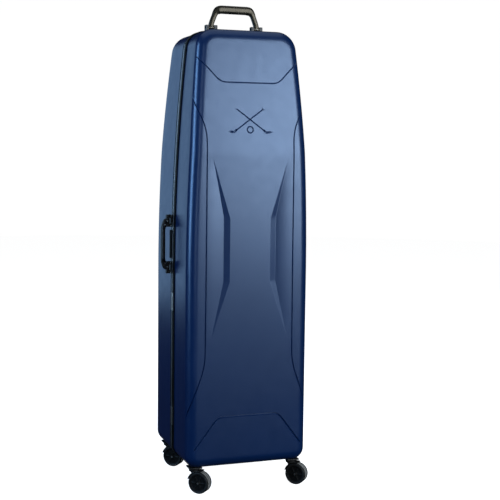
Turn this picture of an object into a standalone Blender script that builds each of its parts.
"""A hard-shell golf travel case that stands on four swivel casters.

Two moulded half shells close on an aluminium frame. The front half is a lid that swings on two hinges
at the case's left edge. Lengths are in metres. +Z is up, and the front face looks along -Y.
Shapes are drawn round the case's own centre, and one parent empty carries them to the origin, which is
the middle of the whole object's base.
"""

import math

import bmesh
import bpy
from mathutils import Matrix

# Driving dimensions of the case.
HALF_WIDTH = 0.1755
DEPTH = 0.345
SHELL_BOTTOM = 0.073
SHELL_TOP = 1.273
TOTAL_HEIGHT = 1.350
WALL = 0.0028
EDGE_RADIUS = 0.029
BOTTOM_CORNER = 0.034
TOP_CORNER = 0.054
LEAST_CORNER = 0.005
SPLIT_Y = -0.020
GAP = 0.0003
LAP = 0.0002

# The sides are straight up to the waist and draw in above it.
WAIST_Z = 0.600
TAPER_HEIGHT = 0.600
TAPER = 0.0287
TAPER_POWER = 2.05

# The front and rear faces lean in towards the split above LEAN_FROM.
LEAN = 0.038
LEAN_FROM = 0.940
LEAN_POWER = 1.15
LEAN_START = 0.020

# Facets round the outline.
BOTTOM_STEPS = 4
SIDE_STEPS = 5
TOP_STEPS = 5
EDGE_STEPS = 4

# The frame that edges each half.
FRAME_PROUD = 0.0020
FRAME_WIDTH = 0.0115
FRAME_FACE = 0.0004
FRAME_LIP = 0.0060
FRAME_WEB = 0.0050
SEAL_INSET = 0.0017
SEAL_DEPTH = 0.0026
TRIM_WIDTH = 0.0070
TRIM_PROUD = 0.0026
TRIM_CROWN = 0.00175
TRIM_SHOULDER = 0.0020
TRIM_TOE = 0.0009
FITTING_BASE = 0.0029

# Linings and what they hold.
LINING_INSET = 0.0068
LINING_WALL = 0.0040
HEAD_PAD_HALF_WIDTH = 0.095
HEAD_PAD_BOTTOM = 1.195
HEAD_PAD_TOP = 1.258
HEAD_PAD_FRONT = 0.012
HEAD_PAD_REAR = 0.119
HEAD_PAD_BEVEL = 0.018
STRAP_HEIGHTS = {"lower": 0.420, "upper": 0.860}
STRAP_WIDTH = 0.040
STRAP_THICKNESS = 0.0016
STRAP_Y = -0.0020
BUCKLE_SIZE = (0.052, 0.009, 0.050)
BUCKLE_BEVEL = 0.0020
BUCKLE_SLOT_MARGIN = 0.0010

# Carry handles. A handle's own axes: X along its pivot, Z away from the case.
HANDLE_PLATE_WIDTH = 0.034
HANDLE_LUG_GAP = 0.0007
HANDLE_LUG_SHARE = 0.85
SMALL_BEVEL = 0.0010
FINE_BEVEL = 0.0006
TOP_HANDLE = {
    "y": -0.010,
    "half_span": 0.067,
    "half_grip": 0.0445,
    "leg_width": 0.014,
    "end_radius": 0.0080,
    "plate": 0.0030,
    "foot_depth": 0.0192,
    "bar": 0.024,
    "grip_depth": 0.022,
}
SIDE_HANDLE = {
    "y": -0.003,
    "half_span": 0.066,
    "half_grip": 0.0400,
    "leg_width": 0.014,
    "end_radius": 0.0060,
    "plate": 0.0025,
    "foot_depth": 0.0260,
    "bar": 0.0105,
    "grip_depth": 0.022,
}
SIDE_HANDLE_Z = 0.681
SIDE_HANDLE_REACH = 0.031
SWING_CLEARANCE = 0.0010
KNEE_CLEARANCE = 0.0018
HANDLE_PIN_RADIUS = 0.0040
HANDLE_BORE_RADIUS = 0.0043
HANDLE_PIN_END = 0.0030
BACKING_THICKNESS = 0.0015
BACKING_HALF_DEPTH = 0.0090
RIVET_HEAD_RADIUS = 0.0040
RIVET_HEAD = 0.0011

# Hinges, in the split on the left.
HINGE_HEIGHTS = {"lower": 0.190, "upper": 0.520}
HINGE_HALF_LENGTH = 0.025
HINGE_KNUCKLE = 0.014
HINGE_BARREL_RADIUS = 0.0022
HINGE_BORE_RADIUS = 0.00135
HINGE_PIN_RADIUS = 0.0011
HINGE_LEAF = 0.0008
HINGE_LEAF_WIDTH = 0.0105
HINGE_AXIS_PROUD = FRAME_PROUD + GAP

# Latches and the lock, on the right. Their own axes: X out of the case, Y from the split to the rear.
LATCH_HEIGHTS = {"lower": 0.250, "upper": 0.860}
LATCH_PLATE = 0.0015
LATCH_HALF_HEIGHT = 0.020
LATCH_REAR = 0.036
LATCH_PIVOT = (0.0090, 0.032)
LATCH_LUG = 0.0030
LATCH_LEVER_HALF_HEIGHT = 0.0125
LATCH_LEVER_FRONT = -0.025
LATCH_LEVER_THICKNESS = 0.0030
LATCH_TAB_LENGTH = 0.0050
LATCH_TAB_HEIGHT = 0.0060
KEEPER_RIB_Y = (-0.016, -0.012)
KEEPER_RIB_HEIGHT = 0.0020
KEEPER_RIB_HALF_LENGTH = 0.0100
LATCH_BARREL_RADIUS = 0.0040
LATCH_PIN_RADIUS = 0.0020
LATCH_BORE_RADIUS = 0.0023
LOCK_Z = 0.556
LOCK_HALF_HEIGHT = 0.034
LOCK_REAR = 0.034
LOCK_FACE = 0.0140
LOCK_BEVEL = 0.0012
HASP_HALF_HEIGHT = 0.0160
HASP_BLOCK_Y = (-0.014, -0.004)
HASP_BLOCK_HALF_HEIGHT = 0.0090
HASP_BLOCK = 0.0040
DIAL_RADIUS = 0.0055
DIAL_THICKNESS = 0.0050
DIAL_PITCH = 0.0080
DIAL_AXIS = (0.0094, 0.017)
DIAL_BORE_RADIUS = 0.0017
SPINDLE_RADIUS = 0.0014
BUTTON_Z = -0.0220
BUTTON_SIZE = (0.0044, 0.0100, 0.0100)
BUTTON_TRAVEL = 0.0025
BUTTON_PROUD = 0.0010

# Casters. A caster's own axes: Z up its pivot, X along its trail and Y along its axle.
CASTER_X = 0.144
CASTER_FRONT_Y = -0.136
CASTER_REAR_Y = 0.1345
CASTER_TRAIL = 0.018
CASTER_SWIVEL = math.radians(-43.5)
WHEEL_RADIUS = 0.030
WHEEL_HALF_WIDTH = 0.0055
WHEEL_OFFSET = 0.00875
WHEEL_CHAMFER = 0.0015
WHEEL_BORE_RADIUS = 0.0033
AXLE_RADIUS = 0.0030
AXLE_HALF_LENGTH = 0.0150
WEB_HALF_WIDTH = 0.00275
HOUSING_NECK_RADIUS = 0.0160
HOUSING_NECK_BOTTOM = 0.0648
HOUSING_FLANGE = 0.0380
HOUSING_FLANGE_BOTTOM = 0.0697
HOUSING_BEVEL = 0.0012
NECK_LAP = 0.0015
STEM_RADIUS = 0.0050
STEM_BORE_RADIUS = 0.0053
HUB_RADIUS = 0.0150
HUB_BOTTOM = 0.0605
HUB_TOP = 0.0644
WEB_TOP_HALF_LENGTH = 0.0135
WEB_ARC = (math.radians(-160), math.radians(20))
HOOD_CLEARANCE = 0.0013
HOOD_THICKNESS = 0.0024
HOOD_HALF_WIDTH = 0.0140
HOOD_FROM = math.radians(78)
HOOD_TO = math.radians(165)
WEB_END_RADIUS = 0.0080

# Facets of round pieces.
ROUND_STEPS = 20
BORE_STEPS = 12

# How far the object reaches each way from the case's centre, which places the origin.
TREAD_HALF_TRACK = WHEEL_OFFSET + WHEEL_HALF_WIDTH - WHEEL_CHAMFER
REACH_LEFT = HALF_WIDTH + SIDE_HANDLE_REACH
REACH_RIGHT = HALF_WIDTH + LATCH_PIVOT[0] + LATCH_TAB_HEIGHT
REACH_FRONT = (
    -CASTER_FRONT_Y
    - (CASTER_TRAIL + WHEEL_RADIUS) * math.sin(CASTER_SWIVEL)
    + TREAD_HALF_TRACK * math.cos(CASTER_SWIVEL)
)
REACH_REAR = DEPTH / 2
CASE_AT = ((REACH_LEFT - REACH_RIGHT) / 2, (REACH_FRONT - REACH_REAR) / 2, 0)


# ---------------------------------------------------------------- scene helpers


def clear_scene():
    for obj in list(bpy.data.objects):
        bpy.data.objects.remove(obj, do_unlink=True)


def new_collection(name):
    collection = bpy.data.collections.new(name)
    bpy.context.scene.collection.children.link(collection)
    return collection


def new_material(name, colour, roughness, metallic=0.0):
    material = bpy.data.materials.new(name)
    material.use_nodes = True
    shader = material.node_tree.nodes["Principled BSDF"]
    shader.inputs["Base Color"].default_value = (*colour, 1)
    shader.inputs["Roughness"].default_value = roughness
    shader.inputs["Metallic"].default_value = metallic
    return material


def new_empty(name, parent, location, angle=0):
    empty = bpy.data.objects.new(name, None)
    collection.objects.link(empty)
    empty.parent = parent
    empty.location = location
    empty.rotation_euler = (0, 0, angle)
    return empty


def add_node(name, mesh, material, parent, location=(0, 0, 0), rotation=(0, 0, 0)):
    """One named piece. Pieces of the same shape share a mesh."""
    if not mesh.materials:
        mesh.materials.append(materials[material])
        mesh.shade_smooth()
        mesh.set_sharp_from_angle(angle=math.radians(35))
    obj = bpy.data.objects.new(name, mesh)
    collection.objects.link(obj)
    obj.parent = parent
    obj.location = location
    obj.rotation_euler = rotation
    return obj


# ---------------------------------------------------------------- shape helpers


def finished_mesh(shape):
    """The mesh of a bmesh, with its faces turned out."""
    bmesh.ops.recalc_face_normals(shape, faces=shape.faces)
    mesh = bpy.data.meshes.new("shape")
    shape.to_mesh(mesh)
    shape.free()
    return mesh


def evaluated_mesh(obj):
    """What an object's modifiers or curve settings make of it, welded. The object is then removed."""
    graph = bpy.context.evaluated_depsgraph_get()
    mesh = bpy.data.meshes.new_from_object(obj.evaluated_get(graph))
    data = obj.data
    bpy.data.objects.remove(obj, do_unlink=True)
    if isinstance(data, bpy.types.Curve):
        bpy.data.curves.remove(data)
    shape = bmesh.new()
    shape.from_mesh(mesh)
    bmesh.ops.remove_doubles(shape, verts=shape.verts, dist=1e-6)
    bpy.data.meshes.remove(mesh)
    return finished_mesh(shape)


def helper_object(data):
    obj = bpy.data.objects.new("helper", data)
    helpers.objects.link(obj)
    obj.hide_render = True
    obj.display_type = "WIRE"
    return obj


def combined(first, joined=(), cut=()):
    """One solid: the first mesh with others joined to it, and more meshes then cut from it."""
    body = helper_object(first)
    tools = []
    for operation, meshes in (("UNION", joined), ("DIFFERENCE", cut)):
        for mesh in meshes:
            tool = helper_object(mesh)
            tools.append(tool)
            boolean = body.modifiers.new(operation.lower(), "BOOLEAN")
            boolean.operation = operation
            boolean.object = tool
            boolean.solver = "EXACT"
    bpy.context.view_layer.update()
    mesh = evaluated_mesh(body)
    for tool in tools:
        bpy.data.objects.remove(tool, do_unlink=True)
    return mesh


def box(low, high, bevel=0):
    shape = bmesh.new()
    bmesh.ops.create_cube(shape, size=1)
    size = [b - a for a, b in zip(low, high)]
    centre = [(a + b) / 2 for a, b in zip(low, high)]
    bmesh.ops.scale(shape, vec=size, verts=shape.verts)
    bmesh.ops.translate(shape, vec=centre, verts=shape.verts)
    if bevel:
        bmesh.ops.bevel(
            shape, geom=shape.edges, offset=bevel, segments=1, profile=0.5, affect="EDGES"
        )
    return finished_mesh(shape)


def cylinder(radius, start, end, axis, centre=(0, 0), steps=ROUND_STEPS):
    """A cylinder along X, Y or Z. centre is its place on the other two axes, in X, Y, Z order."""
    turns = {
        "X": Matrix.Rotation(math.radians(90), 4, "Y"),
        "Y": Matrix.Rotation(math.radians(90), 4, "X"),
        "Z": Matrix.Identity(4),
    }
    middle = list(centre)
    middle.insert("XYZ".index(axis), (start + end) / 2)
    shape = bmesh.new()
    bmesh.ops.create_cone(
        shape,
        cap_ends=True,
        segments=steps,
        radius1=radius,
        radius2=radius,
        depth=end - start,
        matrix=Matrix.Translation(middle) @ turns[axis],
    )
    return finished_mesh(shape)


def plate(outline, thickness, turn):
    """A flat outline given in its own X and Y, thickened both ways, then turned into place."""
    curve = bpy.data.curves.new("outline", "CURVE")
    curve.dimensions = "2D"
    curve.fill_mode = "BOTH"
    curve.extrude = thickness / 2
    spline = curve.splines.new("POLY")
    spline.points.add(len(outline) - 1)
    for point, (x, y) in zip(spline.points, outline):
        point.co = (x, y, 0, 1)
    spline.use_cyclic_u = True
    mesh = evaluated_mesh(helper_object(curve))
    mesh.transform(turn)
    return mesh


UPRIGHT = Matrix.Rotation(math.radians(90), 4, "X")


def turned(profile, steps=ROUND_STEPS):
    """A closed profile of (radius, height) turned round the Z axis."""
    mesh = bpy.data.meshes.new("profile")
    points = [(radius, 0, height) for radius, height in profile]
    edges = [(i, (i + 1) % len(points)) for i in range(len(points))]
    mesh.from_pydata(points, edges, [])
    obj = helper_object(mesh)
    screw = obj.modifiers.new("turn", "SCREW")
    screw.steps = steps
    screw.render_steps = steps
    screw.use_merge_vertices = True
    screw.merge_threshold = 0.00001
    bpy.context.view_layer.update()
    return evaluated_mesh(obj)


def lofted(rings, loop=False, cap=False):
    """A skin through rings with the same number of points. loop joins the last ring to the first.

    cap closes the last ring with level strips, so the ring is the same on its left and on its right.
    """
    shape = bmesh.new()
    rows = [[shape.verts.new(point) for point in ring] for ring in rings]
    pairs = list(zip(rows, rows[1:]))
    if loop:
        pairs.append((rows[-1], rows[0]))
    for lower, upper in pairs:
        for i in range(len(lower)):
            j = (i + 1) % len(lower)
            shape.faces.new((lower[i], lower[j], upper[j], upper[i]))
    if cap:
        last = rows[-1]
        for i in range(len(last) // 2 - 1):
            shape.faces.new((last[i], last[i + 1], last[-2 - i], last[-1 - i]))
    return finished_mesh(shape)


# ---------------------------------------------------------------- the case's outline


def half_width(z):
    """The case's half width at a height."""
    rise = max(z - WAIST_Z, 0) / TAPER_HEIGHT
    return HALF_WIDTH - TAPER * rise**TAPER_POWER


def side_lean(z):
    """How far the side leans in at a height, as an angle."""
    rise = max(z - WAIST_Z, 0) / TAPER_HEIGHT
    return math.atan(TAPER * TAPER_POWER / TAPER_HEIGHT * rise ** (TAPER_POWER - 1))


def arc(centre_x, centre_z, radius, start, end, steps):
    angles = [start + (end - start) * i / steps for i in range(steps + 1)]
    return [
        (centre_x + radius * math.cos(a), centre_z + radius * math.sin(a)) for a in angles
    ]


def case_outline(inset):
    """The case seen from the front, as (x, z) points, drawn in by inset all round."""
    bottom_radius = max(BOTTOM_CORNER - inset, LEAST_CORNER)
    top_radius = max(TOP_CORNER - inset, LEAST_CORNER)
    right = arc(
        HALF_WIDTH - inset - bottom_radius,
        SHELL_BOTTOM + inset + bottom_radius,
        bottom_radius,
        math.radians(-90),
        0,
        BOTTOM_STEPS,
    )
    lean = side_lean(SHELL_TOP - TOP_CORNER)
    top_centre_z = SHELL_TOP - inset - top_radius
    shoulder_z = top_centre_z + top_radius * math.sin(lean)
    for i in range(SIDE_STEPS):
        z = WAIST_Z + (shoulder_z - WAIST_Z) * i / SIDE_STEPS
        right.append((half_width(z) - inset / math.cos(side_lean(z)), z))
    shoulder_x = half_width(shoulder_z) - inset / math.cos(lean)
    top_centre_x = shoulder_x - top_radius * math.cos(lean)
    right += arc(
        top_centre_x, top_centre_z, top_radius, lean, math.radians(90), TOP_STEPS
    )
    left = [(-x, z) for x, z in reversed(right)]
    return right + left


def ring(inset, y):
    return [(x, y, z) for x, z in case_outline(inset)]


def leaned(points, side):
    """Points of one half moved in towards the split, fully at the face and not at all near the frame."""
    start = SPLIT_Y + side * LEAN_START
    depth = side * DEPTH / 2 - start
    moved = []
    for x, y, z in points:
        rise = max(z - LEAN_FROM, 0) / (SHELL_TOP - LEAN_FROM)
        share = max((y - start) / depth, 0)
        moved.append((x, y - side * LEAN * rise**LEAN_POWER * share, z))
    return moved


def half_shell(side, rim, inset, wall):
    """One dished half. side is -1 for the front and 1 for the rear, and rim is its distance from the split.

    inset is how far its outer surface lies inside the case's, and wall is its thickness.
    """
    face_y = side * (DEPTH / 2 - inset)
    radius = EDGE_RADIUS - inset
    rings = [ring(inset, SPLIT_Y + side * rim)]
    for i in range(EDGE_STEPS + 1):
        angle = math.radians(90) * i / EDGE_STEPS
        drawn_in = inset + radius * (1 - math.cos(angle))
        rings.append(ring(drawn_in, face_y - side * radius * (1 - math.sin(angle))))
    skin = helper_object(lofted([leaned(points, side) for points in rings], cap=True))
    solidify = skin.modifiers.new("wall", "SOLIDIFY")
    solidify.thickness = wall
    solidify.offset = -1
    solidify.use_even_offset = True
    bpy.context.view_layer.update()
    return evaluated_mesh(skin)


def swept_section(section, side):
    """A section of (outward, behind the split) points carried round the case's outline."""
    return lofted([ring(-out, SPLIT_Y + side * back) for out, back in section], loop=True)


# ---------------------------------------------------------------- shells, frames and linings


def frame_mesh(side, rebated):
    """The edge extrusion: a channel for the shell's rim, and a rebate for the seal if it is rebated."""
    section = [
        (FRAME_PROUD, FRAME_FACE),
        (FRAME_PROUD, FRAME_WIDTH),
        (GAP, FRAME_WIDTH),
        (GAP, FRAME_WEB),
        (-WALL - GAP, FRAME_WEB),
        (-WALL - GAP, FRAME_WIDTH),
        (-FRAME_LIP, FRAME_WIDTH),
    ]
    if rebated:
        section += [
            (-FRAME_LIP, SEAL_DEPTH),
            (-SEAL_INSET, SEAL_DEPTH),
            (-SEAL_INSET, FRAME_FACE),
        ]
    else:
        section += [(-FRAME_LIP, FRAME_FACE)]
    return combined(swept_section(section, side), cut=hinge_notches())


def hinge_notches():
    """Room in the frame's outer corner for the hinge barrels."""
    notches = []
    half_length = HINGE_HALF_LENGTH + 2 * GAP
    half_depth = HINGE_BARREL_RADIUS + 2 * GAP
    axis_x = -HALF_WIDTH - HINGE_AXIS_PROUD
    for z in HINGE_HEIGHTS.values():
        low = (axis_x - half_depth, SPLIT_Y - half_depth, z - half_length)
        high = (axis_x + half_depth, SPLIT_Y + half_depth, z + half_length)
        notches.append(box(low, high))
    return notches


def seal_mesh():
    top = SEAL_DEPTH - GAP
    section = [
        (-SEAL_INSET - GAP, -GAP / 2),
        (-SEAL_INSET - GAP, top),
        (-FRAME_LIP, top),
        (-FRAME_LIP, -GAP / 2),
    ]
    return swept_section(section, 1)


def trim_mesh(side):
    """The rubber edging that covers the frame's outer edge, with a crowned top."""
    start = FRAME_WIDTH + GAP
    end = start + TRIM_WIDTH
    section = [
        (GAP, start),
        (TRIM_SHOULDER, start),
        (TRIM_PROUD, start + TRIM_CROWN),
        (TRIM_PROUD, end - TRIM_CROWN),
        (TRIM_TOE, end),
        (GAP, end),
    ]
    return swept_section(section, side)


def add_halves(case):
    rim = FRAME_WEB + GAP
    for name, side in (("front", -1), ("rear", 1)):
        add_node(f"{name}_shell", half_shell(side, rim, 0, WALL), "shell", case)
        add_node(f"{name}_frame", frame_mesh(side, side > 0), "aluminium", case)
        add_node(f"{name}_edge_trim", trim_mesh(side), "trim", case)
        lining = half_shell(side, FRAME_WIDTH + GAP, LINING_INSET, LINING_WALL)
        add_node(f"{name}_lining", lining, "lining", case)
    add_node("frame_seal", seal_mesh(), "seal", case)


def add_head_pad(case):
    low = (-HEAD_PAD_HALF_WIDTH, HEAD_PAD_FRONT, HEAD_PAD_BOTTOM)
    high = (HEAD_PAD_HALF_WIDTH, HEAD_PAD_REAR, HEAD_PAD_TOP)
    add_node("head_pad", box(low, high, bevel=HEAD_PAD_BEVEL), "lining", case)


def add_straps(case):
    buckle_x, buckle_y, buckle_z = BUCKLE_SIZE
    slot = STRAP_WIDTH / 2 + BUCKLE_SLOT_MARGIN
    slot_half_thickness = STRAP_THICKNESS / 2 + 2 * GAP
    for name, z in STRAP_HEIGHTS.items():
        reach = half_width(z + STRAP_WIDTH / 2) - LINING_INSET - LINING_WALL - 2 * GAP
        strap = box(
            (-reach, STRAP_Y - STRAP_THICKNESS / 2, z - STRAP_WIDTH / 2),
            (reach, STRAP_Y + STRAP_THICKNESS / 2, z + STRAP_WIDTH / 2),
        )
        add_node(f"{name}_strap", strap, "webbing", case)
        body = box(
            (-buckle_x / 2, STRAP_Y - buckle_y / 2, z - buckle_z / 2),
            (buckle_x / 2, STRAP_Y + buckle_y / 2, z + buckle_z / 2),
            bevel=BUCKLE_BEVEL,
        )
        passage = box(
            (-buckle_x, STRAP_Y - slot_half_thickness, z - slot),
            (buckle_x, STRAP_Y + slot_half_thickness, z + slot),
        )
        add_node(f"{name}_buckle", combined(body, cut=[passage]), "black_plastic", case)


# ---------------------------------------------------------------- carry handles


def handle_pivot_height(spec):
    """A handle's pivot above the surface that its feet stand on."""
    return spec["plate"] + SWING_CLEARANCE + spec["end_radius"]


def bail_mesh(spec, reach):
    """A handle: two slanted legs and a thicker grip, with a pin through the foot of each leg."""
    leg = spec["leg_width"] / 2
    span = spec["half_span"]
    grip = spec["half_grip"]
    bar = spec["bar"]
    corner = bar / 4
    knee = spec["end_radius"] + KNEE_CLEARANCE
    right = [
        (span + leg, 0),
        (span + leg, knee),
        (grip + leg + corner, reach - corner),
        (grip + leg - corner, reach),
    ]
    inner = [(grip - leg, reach - bar), (span - leg, knee), (span - leg, 0)]
    left = [(-x, z) for x, z in reversed(right)]
    inner_left = [(-x, z) for x, z in reversed(inner)]
    end_radius = spec["end_radius"]
    body = plate(right + left + inner_left + inner, 2 * (end_radius - LAP), UPRIGHT)
    half_depth = spec["grip_depth"] / 2
    grip_box = box(
        (-grip, -half_depth, reach - bar - LAP), (grip, half_depth, reach), bevel=corner
    )
    joined = [grip_box]
    pin_reach = HANDLE_PLATE_WIDTH / 2 - HANDLE_PIN_END
    for side in (-1, 1):
        x = side * span
        joined.append(cylinder(end_radius, x - leg - LAP, x + leg + LAP, "X"))
        joined.append(
            cylinder(HANDLE_PIN_RADIUS, x - pin_reach, x + pin_reach, "X", steps=BORE_STEPS)
        )
    return combined(body, joined=joined)


def foot_mesh(spec):
    """A clevis foot: a plate with a lug on each side of the leg. The pivot is at its origin."""
    base = -handle_pivot_height(spec)
    half = HANDLE_PLATE_WIDTH / 2
    lug_inner = spec["leg_width"] / 2 + HANDLE_LUG_GAP
    lug_half_depth = spec["end_radius"]
    half_depth = spec["foot_depth"] / 2
    body = box((-half, -half_depth, base), (half, half_depth, base + spec["plate"]))
    joined = []
    for side in (-1, 1):
        near, far = sorted((side * lug_inner, side * half))
        joined.append(
            box(
                (near, -lug_half_depth, base + GAP),
                (far, lug_half_depth, spec["end_radius"] * HANDLE_LUG_SHARE),
                bevel=SMALL_BEVEL,
            )
        )
    bore = cylinder(HANDLE_BORE_RADIUS, -half - GAP, half + GAP, "X", steps=BORE_STEPS)
    return combined(body, joined=joined, cut=[bore])


def backing_mesh(half_span):
    """A plate inside the shell that takes a handle's rivets, with their heads on its inner side."""
    half_length = half_span + HANDLE_PLATE_WIDTH / 2
    low = (-half_length, -BACKING_HALF_DEPTH, 0)
    body = box(low, (half_length, BACKING_HALF_DEPTH, BACKING_THICKNESS))
    heads = []
    for x in (-half_span, half_span):
        heads.append(
            cylinder(
                RIVET_HEAD_RADIUS,
                -RIVET_HEAD,
                BACKING_THICKNESS / 2,
                "Z",
                centre=(x, 0),
                steps=BORE_STEPS,
            )
        )
    return combined(body, joined=heads)


def add_top_handle(case):
    spec = TOP_HANDLE
    base_z = SHELL_TOP + FITTING_BASE
    pivot_z = base_z + handle_pivot_height(spec)
    pivot = new_empty("top_handle_pivot", case, (0, spec["y"], pivot_z))
    add_node("top_handle", bail_mesh(spec, TOTAL_HEIGHT - pivot_z), "handle", pivot)
    foot = foot_mesh(spec)
    for name, side in (("left", -1), ("right", 1)):
        place = (side * spec["half_span"], 0, 0)
        add_node(f"top_handle_foot_{name}", foot, "black_plastic", pivot, place)


def add_side_handle(case):
    spec = SIDE_HANDLE
    base_x = -HALF_WIDTH - FITTING_BASE
    pivot_x = base_x - handle_pivot_height(spec)
    pivot = new_empty("side_handle_pivot", case, (pivot_x, spec["y"], SIDE_HANDLE_Z))
    pivot.rotation_euler = (0, math.radians(-90), 0)
    reach = SIDE_HANDLE_REACH + HALF_WIDTH + pivot_x
    add_node("side_handle", bail_mesh(spec, reach), "handle", pivot)
    foot = foot_mesh(spec)
    for name, side in (("lower", -1), ("upper", 1)):
        place = (side * spec["half_span"], 0, 0)
        add_node(f"side_handle_foot_{name}", foot, "black_plastic", pivot, place)


def add_backing_plates(case):
    plate_y = SPLIT_Y + FRAME_WIDTH + GAP + BACKING_HALF_DEPTH
    beneath = WALL + GAP + BACKING_THICKNESS
    flat = backing_mesh(TOP_HANDLE["half_span"])
    add_node("top_handle_plate", flat, "steel", case, (0, plate_y, SHELL_TOP - beneath))
    # The side's plate leans with the shell, as a chord of its curve.
    half_length = SIDE_HANDLE["half_span"] + HANDLE_PLATE_WIDTH / 2
    draw_in = HALF_WIDTH - half_width(SIDE_HANDLE_Z + half_length)
    lean = math.atan(draw_in / (2 * half_length))
    chord_x = -HALF_WIDTH + draw_in / 2 + beneath + 2 * GAP
    add_node(
        "side_handle_plate",
        backing_mesh(SIDE_HANDLE["half_span"]),
        "steel",
        case,
        (chord_x, plate_y, SIDE_HANDLE_Z),
        (0, math.radians(-90) + lean, 0),
    )


# ---------------------------------------------------------------- hinges


def knuckle(low, high):
    return cylinder(HINGE_BARREL_RADIUS, low, high, "Z", steps=BORE_STEPS)


def hinge_leaf(side, knuckles):
    """A leaf on the frame's outer face with its knuckles round the pin. side is -1 for the lid's leaf."""
    start = HINGE_BARREL_RADIUS + 2 * GAP
    leaf_y = sorted((side * start, side * HINGE_LEAF_WIDTH))
    half = HINGE_HALF_LENGTH
    body = box((-HINGE_LEAF, leaf_y[0], -half), (0, leaf_y[1], half))
    joined = []
    for low, high in knuckles:
        arm_y = sorted((0, side * (start + GAP)))
        joined.append(box((-HINGE_LEAF, arm_y[0], low), (0, arm_y[1], high)))
        joined.append(knuckle(low, high))
    bore = cylinder(HINGE_BORE_RADIUS, -half - GAP, half + GAP, "Z", steps=BORE_STEPS)
    return combined(body, joined=joined, cut=[bore])


def add_hinges(case):
    half = HINGE_HALF_LENGTH
    inner = half - HINGE_KNUCKLE
    rear = hinge_leaf(1, [(-half, -inner), (inner, half)])
    front = hinge_leaf(-1, [(-inner + GAP, inner - GAP)])
    pin = cylinder(HINGE_PIN_RADIUS, -half, half, "Z", steps=BORE_STEPS)
    for name, z in HINGE_HEIGHTS.items():
        axis = new_empty(
            f"{name}_hinge_axis", case, (-HALF_WIDTH - HINGE_AXIS_PROUD, SPLIT_Y, z)
        )
        add_node(f"{name}_hinge_rear_leaf", rear, "steel", axis)
        add_node(f"{name}_hinge_front_leaf", front, "steel", axis)
        add_node(f"{name}_hinge_pin", pin, "steel", axis)


# ---------------------------------------------------------------- latches and lock


def latch_base_mesh():
    pivot_x, pivot_y = LATCH_PIVOT
    plate_top = FITTING_BASE + LATCH_PLATE
    half = LATCH_HALF_HEIGHT
    body = box((FITTING_BASE, FRAME_FACE, -half), (plate_top, LATCH_REAR, half))
    lugs = []
    inner = LATCH_LEVER_HALF_HEIGHT + 2 * GAP
    for side in (-1, 1):
        low_z, high_z = sorted((side * inner, side * (inner + LATCH_LUG)))
        radius = LATCH_BARREL_RADIUS
        lugs.append(
            box(
                (plate_top - GAP, pivot_y - radius, low_z),
                (pivot_x + radius, pivot_y + radius, high_z),
                bevel=FINE_BEVEL,
            )
        )
    bore = cylinder(
        LATCH_BORE_RADIUS, -half, half, "Z", centre=LATCH_PIVOT, steps=BORE_STEPS
    )
    return combined(body, joined=lugs, cut=[bore])


def latch_lever_mesh():
    """The lever, about its own pivot. It lies over the keeper and swings out to the right."""
    thickness = LATCH_LEVER_THICKNESS
    half = LATCH_LEVER_HALF_HEIGHT
    front = LATCH_LEVER_FRONT - LATCH_PIVOT[1]
    low = (-thickness / 2, front, -half)
    body = box(low, (thickness / 2, 0, half), bevel=SMALL_BEVEL)
    tab_high = (LATCH_TAB_HEIGHT, front + LATCH_TAB_LENGTH, half / 2)
    tab = box((0, front, -half / 2), tab_high, bevel=SMALL_BEVEL)
    barrel = cylinder(LATCH_BARREL_RADIUS, -half, half, "Z")
    reach = half + LATCH_LUG
    pin = cylinder(LATCH_PIN_RADIUS, -reach, reach, "Z", steps=BORE_STEPS)
    return combined(body, joined=[tab, barrel, pin])


def keeper_mesh():
    plate_top = FITTING_BASE + LATCH_PLATE
    half = LATCH_LEVER_HALF_HEIGHT
    body = box((FITTING_BASE, LATCH_LEVER_FRONT, -half), (plate_top, -FRAME_FACE, half))
    front, back = KEEPER_RIB_Y
    rib = box(
        (plate_top - GAP, front, -KEEPER_RIB_HALF_LENGTH),
        (plate_top + KEEPER_RIB_HEIGHT, back, KEEPER_RIB_HALF_LENGTH),
    )
    return combined(body, joined=[rib])


def right_side_frame(case, name, z):
    """An empty on the right side's surface at the split, leaning with the side."""
    empty = new_empty(name, case, (half_width(z), SPLIT_Y, z))
    empty.rotation_euler = (0, -side_lean(z), 0)
    return empty


def add_latches(case):
    base = latch_base_mesh()
    lever = latch_lever_mesh()
    keeper = keeper_mesh()
    for name, z in LATCH_HEIGHTS.items():
        place = right_side_frame(case, f"{name}_latch_place", z)
        add_node(f"{name}_latch_base", base, "steel", place)
        add_node(f"{name}_latch_lever", lever, "steel", place, (*LATCH_PIVOT, 0))
        add_node(f"{name}_latch_keeper", keeper, "steel", place)


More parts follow.
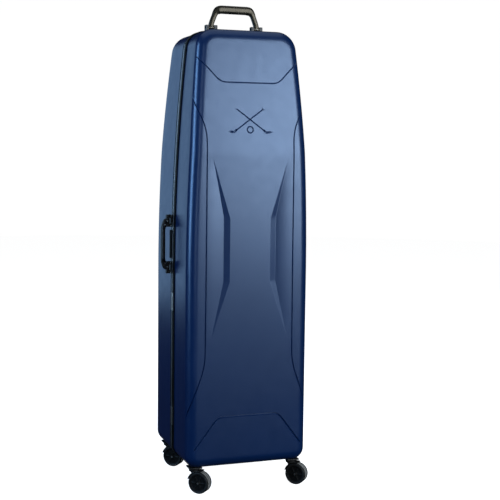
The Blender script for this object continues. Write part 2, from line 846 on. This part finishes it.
def lock_body_mesh():
    half = LOCK_HALF_HEIGHT
    body = box((FITTING_BASE, FRAME_FACE, -half), (LOCK_FACE, LOCK_REAR, half), bevel=LOCK_BEVEL)
    axis_x, axis_y = DIAL_AXIS
    room = DIAL_RADIUS + 2 * GAP
    cuts = []
    for i in (-1, 0, 1):
        half_slot = DIAL_THICKNESS / 2 + GAP
        z = i * DIAL_PITCH
        cuts.append(
            box(
                (axis_x - room, axis_y - room, z - half_slot),
                (LOCK_FACE + GAP, axis_y + room, z + half_slot),
            )
        )
    depth, width, height = BUTTON_SIZE
    pocket_bottom = LOCK_FACE + BUTTON_PROUD - depth - BUTTON_TRAVEL - 2 * GAP
    cuts.append(
        box(
            (pocket_bottom, axis_y - width / 2 - GAP, BUTTON_Z - height / 2 - GAP),
            (LOCK_FACE + GAP, axis_y + width / 2 + GAP, BUTTON_Z + height / 2 + GAP),
        )
    )
    slotted = combined(body, cut=cuts)
    reach = 2 * DIAL_PITCH
    spindle = cylinder(
        SPINDLE_RADIUS, -reach, reach, "Z", centre=DIAL_AXIS, steps=BORE_STEPS
    )
    return combined(slotted, joined=[spindle])


def add_lock(case):
    place = right_side_frame(case, "lock_place", LOCK_Z)
    add_node("lock_body", lock_body_mesh(), "black_plastic", place)
    half = DIAL_THICKNESS / 2
    dial = turned(
        [
            (DIAL_BORE_RADIUS, half),
            (DIAL_RADIUS, half),
            (DIAL_RADIUS, -half),
            (DIAL_BORE_RADIUS, -half),
        ]
    )
    for number, i in enumerate((-1, 0, 1), start=1):
        spot = (*DIAL_AXIS, i * DIAL_PITCH)
        add_node(f"lock_dial_{number}", dial, "steel", place, spot)
    depth, width, height = BUTTON_SIZE
    low = (-depth, -width / 2, -height / 2)
    button = box(low, (0, width / 2, height / 2), bevel=FINE_BEVEL)
    spot = (LOCK_FACE + BUTTON_PROUD, DIAL_AXIS[1], BUTTON_Z)
    add_node("lock_button", button, "steel", place, spot)
    add_node("lock_hasp", hasp_mesh(), "steel", place)


def hasp_mesh():
    top = FITTING_BASE + 2 * LATCH_PLATE
    half = HASP_HALF_HEIGHT
    body = box((FITTING_BASE, LATCH_LEVER_FRONT, -half), (top, -FRAME_FACE, half))
    front, back = HASP_BLOCK_Y
    low = (top - GAP, front, -HASP_BLOCK_HALF_HEIGHT)
    high = (top + HASP_BLOCK, back, HASP_BLOCK_HALF_HEIGHT)
    return combined(body, joined=[box(low, high, bevel=SMALL_BEVEL)])


# ---------------------------------------------------------------- casters


def housing_mesh():
    """The fixed part: a flange against the shell and a neck with the swivel's bore."""
    half = HOUSING_FLANGE / 2
    top = SHELL_BOTTOM - GAP
    body = box((-half, -half, HOUSING_FLANGE_BOTTOM), (half, half, top), bevel=HOUSING_BEVEL)
    neck = cylinder(
        HOUSING_NECK_RADIUS, HOUSING_NECK_BOTTOM, HOUSING_FLANGE_BOTTOM + NECK_LAP, "Z"
    )
    bore = cylinder(
        STEM_BORE_RADIUS,
        HOUSING_NECK_BOTTOM - GAP,
        HOUSING_FLANGE_BOTTOM + NECK_LAP,
        "Z",
        steps=BORE_STEPS,
    )
    return combined(body, joined=[neck], cut=[bore])


def fork_mesh():
    """The swivelling part: a hub and stem on the pivot, a web between the wheels and a hood over them."""
    axle_x = CASTER_TRAIL
    axle_z = WHEEL_RADIUS
    hub = cylinder(HUB_RADIUS, HUB_BOTTOM, HUB_TOP, "Z")
    stem = cylinder(STEM_RADIUS, HUB_TOP - GAP, HOUSING_FLANGE_BOTTOM, "Z", steps=BORE_STEPS)
    web_outline = arc(axle_x, axle_z, WEB_END_RADIUS, *WEB_ARC, BORE_STEPS // 2)
    web_top = HUB_BOTTOM + GAP
    web_outline += [(WEB_TOP_HALF_LENGTH, web_top), (-WEB_TOP_HALF_LENGTH, web_top)]
    web = plate(web_outline, 2 * WEB_HALF_WIDTH, UPRIGHT)
    inner = WHEEL_RADIUS + HOOD_CLEARANCE
    outer = inner + HOOD_THICKNESS
    hood_outline = arc(axle_x, axle_z, outer, HOOD_FROM, HOOD_TO, BORE_STEPS // 2)
    hood_outline += reversed(arc(axle_x, axle_z, inner, HOOD_FROM, HOOD_TO, BORE_STEPS // 2))
    hood = plate(hood_outline, 2 * HOOD_HALF_WIDTH, UPRIGHT)
    bore = cylinder(
        WHEEL_BORE_RADIUS,
        -HOOD_HALF_WIDTH,
        HOOD_HALF_WIDTH,
        "Y",
        centre=(axle_x, axle_z),
        steps=BORE_STEPS,
    )
    return combined(hub, joined=[stem, web, hood], cut=[bore])


def wheel_mesh():
    half = WHEEL_HALF_WIDTH
    edge = WHEEL_RADIUS - WHEEL_CHAMFER
    tread = half - WHEEL_CHAMFER
    mesh = turned(
        [
            (WHEEL_BORE_RADIUS, half),
            (edge, half),
            (WHEEL_RADIUS, tread),
            (WHEEL_RADIUS, -tread),
            (edge, -half),
            (WHEEL_BORE_RADIUS, -half),
        ]
    )
    mesh.transform(UPRIGHT)
    return mesh


def add_casters(case):
    housing = housing_mesh()
    fork = fork_mesh()
    wheel = wheel_mesh()
    axle = cylinder(AXLE_RADIUS, -AXLE_HALF_LENGTH, AXLE_HALF_LENGTH, "Y", steps=BORE_STEPS)
    axle_at = (CASTER_TRAIL, 0, WHEEL_RADIUS)
    for end, y in (("front", CASTER_FRONT_Y), ("rear", CASTER_REAR_Y)):
        for hand, x in (("left", -CASTER_X), ("right", CASTER_X)):
            name = f"{end}_{hand}_caster"
            add_node(f"{name}_housing", housing, "black_plastic", case, (x, y, 0))
            swivel = new_empty(f"{name}_swivel", case, (x, y, 0), CASTER_SWIVEL)
            add_node(f"{name}_fork", fork, "black_plastic", swivel)
            add_node(f"{name}_axle", axle, "steel", swivel, axle_at)
            for label, side in (("a", -1), ("b", 1)):
                place = (CASTER_TRAIL, side * WHEEL_OFFSET, WHEEL_RADIUS)
                add_node(f"{name}_wheel_{label}", wheel, "wheel", swivel, place)


# ---------------------------------------------------------------- the whole case

clear_scene()
collection = new_collection("golf_travel_case")
helpers = new_collection("cutters")
materials = {
    "shell": new_material("shell", (0.055, 0.105, 0.205), 0.30, 0.25),
    "aluminium": new_material("aluminium", (0.50, 0.50, 0.49), 0.38, 1.0),
    "trim": new_material("trim", (0.012, 0.012, 0.015), 0.55),
    "seal": new_material("seal", (0.010, 0.010, 0.011), 0.70),
    "lining": new_material("lining", (0.035, 0.036, 0.040), 0.90),
    "webbing": new_material("webbing", (0.014, 0.014, 0.016), 0.85),
    "handle": new_material("handle", (0.040, 0.040, 0.034), 0.42),
    "black_plastic": new_material("black_plastic", (0.018, 0.018, 0.019), 0.45),
    "steel": new_material("steel", (0.46, 0.46, 0.45), 0.35, 1.0),
    "wheel": new_material("wheel", (0.030, 0.030, 0.032), 0.60),
}
case_empty = new_empty("case_centre", None, CASE_AT)
add_halves(case_empty)
add_head_pad(case_empty)
add_straps(case_empty)
add_top_handle(case_empty)
add_side_handle(case_empty)
add_backing_plates(case_empty)
add_hinges(case_empty)
add_latches(case_empty)
add_lock(case_empty)
add_casters(case_empty)
